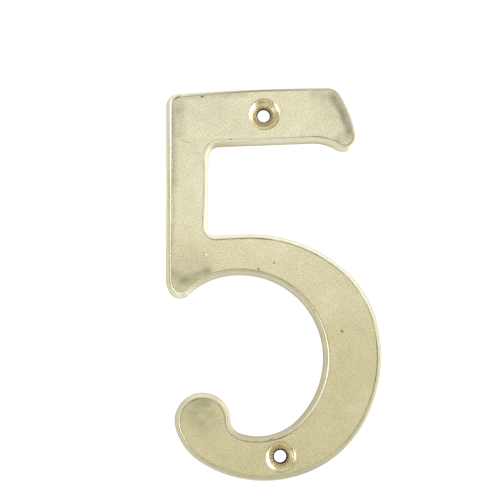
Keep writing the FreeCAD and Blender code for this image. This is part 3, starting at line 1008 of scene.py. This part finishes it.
class DOORNUMBER_OT_cast_figure(bpy.types.Operator):
    """Cast the figure 5, polish its face and cut its two countersunk screw holes"""

    bl_idname = "door_number.cast_figure"
    bl_label = "Cast the Figure"

    def execute(self, context):
        sizes = context.scene.door_number_sizes
        colours = context.scene.door_number_colours
        figure = bpy.data.objects.new("brass_figure", casting_mesh(sizes))
        context.scene.collection.objects.link(figure)
        for finish in (
            hand_polished_brass,
            brushed_cast_wall,
            countersunk_brass,
            drilled_brass,
            sand_cast_back,
        ):
            figure.data.materials.append(finish(colours))
        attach(figure, "root")
        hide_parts(NODE)
        return {"FINISHED"}


# ---------------------------------------------------------------- studio

FIGURE_MIDDLE = (2.0, -2.0, -32.0)  # what the cards face, in millimetres

# Cards round the number, out of the camera's sight: name, place, width, height in millimetres
# and brightness. The grey panel behind the softbox is what the rolled-off places reflect.
CARDS = (
    ("tan_card_left", (-420, 480, -30), 520, 1400, (0.88, 0.86, 0.80)),
    ("white_card_right", (400, 700, -30), 420, 1400, (1.95, 1.95, 1.95)),
    ("white_card_above", (60, 700, 480), 1000, 420, (1.5, 1.5, 1.5)),
    ("lamp_left", (-455, -750, -185), 310, 580, (5.7, 5.85, 6.6)),
    ("lamp_right", (480, -760, 95), 110, 360, (3.5, 3.6, 4.1)),
    ("softbox", (45, -940, 78), 410, 550, (1.08, 1.08, 1.08)),
    ("grey_panel", (60, -1000, 60), 900, 900, (0.25, 0.235, 0.20)),
)


def lay_floor(studio):
    half = studio.floor_size / 2
    z = CAD_BOX[0][2] - studio.floor_drop
    mesh = bpy.data.meshes.new("pale_floor")
    corners = [(-half, -half, z), (half, -half, z), (half, half, z), (-half, half, z)]
    mesh.from_pydata(corners, [], [(0, 1, 2, 3)])
    floor = bpy.data.objects.new("pale_floor", mesh)
    material, tree, place = new_finish("matt_white_paper")
    # Paper fibre is far finer; 4 mm mottling keeps the floor from looking like a flat fill.
    mottle = mottled(tree, place, 4.0, 0.84, 0.88)
    shader = add_node(tree, "BsdfPrincipled", {"Base Color": mottle, "Roughness": 0.9})
    add_node(tree, "OutputMaterial", {"Surface": shader})
    mesh.materials.append(material)
    return floor


def light_tent(scene, brightness):
    """Even white light from all round, as inside a photographer's light tent."""
    world = bpy.data.worlds.new("light_tent")
    world.use_nodes = True
    tree = world.node_tree
    tree.nodes.clear()
    white = {"Color": (1.0, 1.0, 1.0, 1.0), "Strength": brightness}
    white = add_node(tree, "Background", white)
    add_node(tree, "OutputWorld", {"Surface": white})
    scene.world = world


def card(name, centre, width, height, tone):
    """A flat card that faces the number: grey to take light away, or lit to add some."""
    middle = Vector(centre) * MM
    aim = (Vector(FIGURE_MIDDLE) * MM - middle).to_track_quat("Z", "Y")
    mesh = bpy.data.meshes.new(name)
    w = width * MM / 2
    h = height * MM / 2
    mesh.from_pydata([(-w, -h, 0), (w, -h, 0), (w, h, 0), (-w, h, 0)], [], [(0, 1, 2, 3)])
    panel = bpy.data.objects.new(name, mesh)
    panel.location = middle
    panel.rotation_mode = "QUATERNION"
    panel.rotation_quaternion = aim
    panel.visible_camera = False
    panel.visible_diffuse = False
    material, tree, _ = new_finish(name)
    glow = add_node(tree, "Emission", {"Color": opaque(tone), "Strength": 1.0})
    add_node(tree, "OutputMaterial", {"Surface": glow})
    mesh.materials.append(material)
    return panel


def place_camera(studio):
    data = bpy.data.cameras.new("photograph")
    data.lens = studio.focal_length
    data.sensor_width = 36.0
    data.clip_start = 0.01
    data.clip_end = 20.0
    camera = bpy.data.objects.new("photograph", data)
    camera.location = (-studio.camera_left, -studio.camera_distance, -studio.camera_down)
    yaw = studio.camera_yaw
    pitch = studio.camera_pitch
    look = Vector(
        (math.sin(yaw) * math.cos(pitch), math.cos(yaw) * math.cos(pitch), math.sin(pitch))
    )
    camera.rotation_mode = "QUATERNION"
    camera.rotation_quaternion = look.to_track_quat("-Z", "Y")
    return camera


class DOORNUMBER_OT_set_up_studio(bpy.types.Operator):
    """Lay the floor and set up the soft light and the photograph's camera"""

    bl_idname = "door_number.set_up_studio"
    bl_label = "Set Up the Studio"

    def execute(self, context):
        scene = context.scene
        studio = scene.door_number_studio
        stands = [lay_floor(studio)]
        stands += [card(name, place, w, h, tone) for name, place, w, h, tone in CARDS]
        for stand in stands:
            scene.collection.objects.link(stand)
        light_tent(scene, studio.surround)
        camera = place_camera(studio)
        scene.collection.objects.link(camera)
        scene.camera = camera
        scene.view_settings.view_transform = "Standard"
        scene.view_settings.look = "None"
        return {"FINISHED"}


class DOORNUMBER_PT_panel(bpy.types.Panel):
    """Lists the steps that make the door number"""

    bl_label = "Door Number"
    bl_space_type = "VIEW_3D"
    bl_region_type = "UI"
    bl_category = "Door Number"

    def draw(self, context):
        for operator in (DOORNUMBER_OT_cast_figure, DOORNUMBER_OT_set_up_studio):
            self.layout.operator(operator.bl_idname)
        for group in GROUPS:
            settings = getattr(context.scene, group)
            box = self.layout.box()
            for name in settings.bl_rna.properties.keys():
                if name not in ("rna_type", "name"):
                    box.prop(settings, name)


GROUPS = {
    "door_number_sizes": CastingSizes,
    "door_number_colours": FinishColours,
    "door_number_studio": StudioSettings,
}
CLASSES = (
    *GROUPS.values(),
    DOORNUMBER_OT_cast_figure,
    DOORNUMBER_OT_set_up_studio,
    DOORNUMBER_PT_panel,
)


def register():
    for kind in CLASSES:
        bpy.utils.register_class(kind)
    for name, group in GROUPS.items():
        setattr(bpy.types.Scene, name, bpy.props.PointerProperty(type=group))


def unregister():
    for name in GROUPS:
        delattr(bpy.types.Scene, name)
    for kind in reversed(CLASSES):
        bpy.utils.unregister_class(kind)


def main():
    register()
    bpy.ops.door_number.cast_figure()
    bpy.ops.door_number.set_up_studio()


if __name__ == "__main__":
    main()
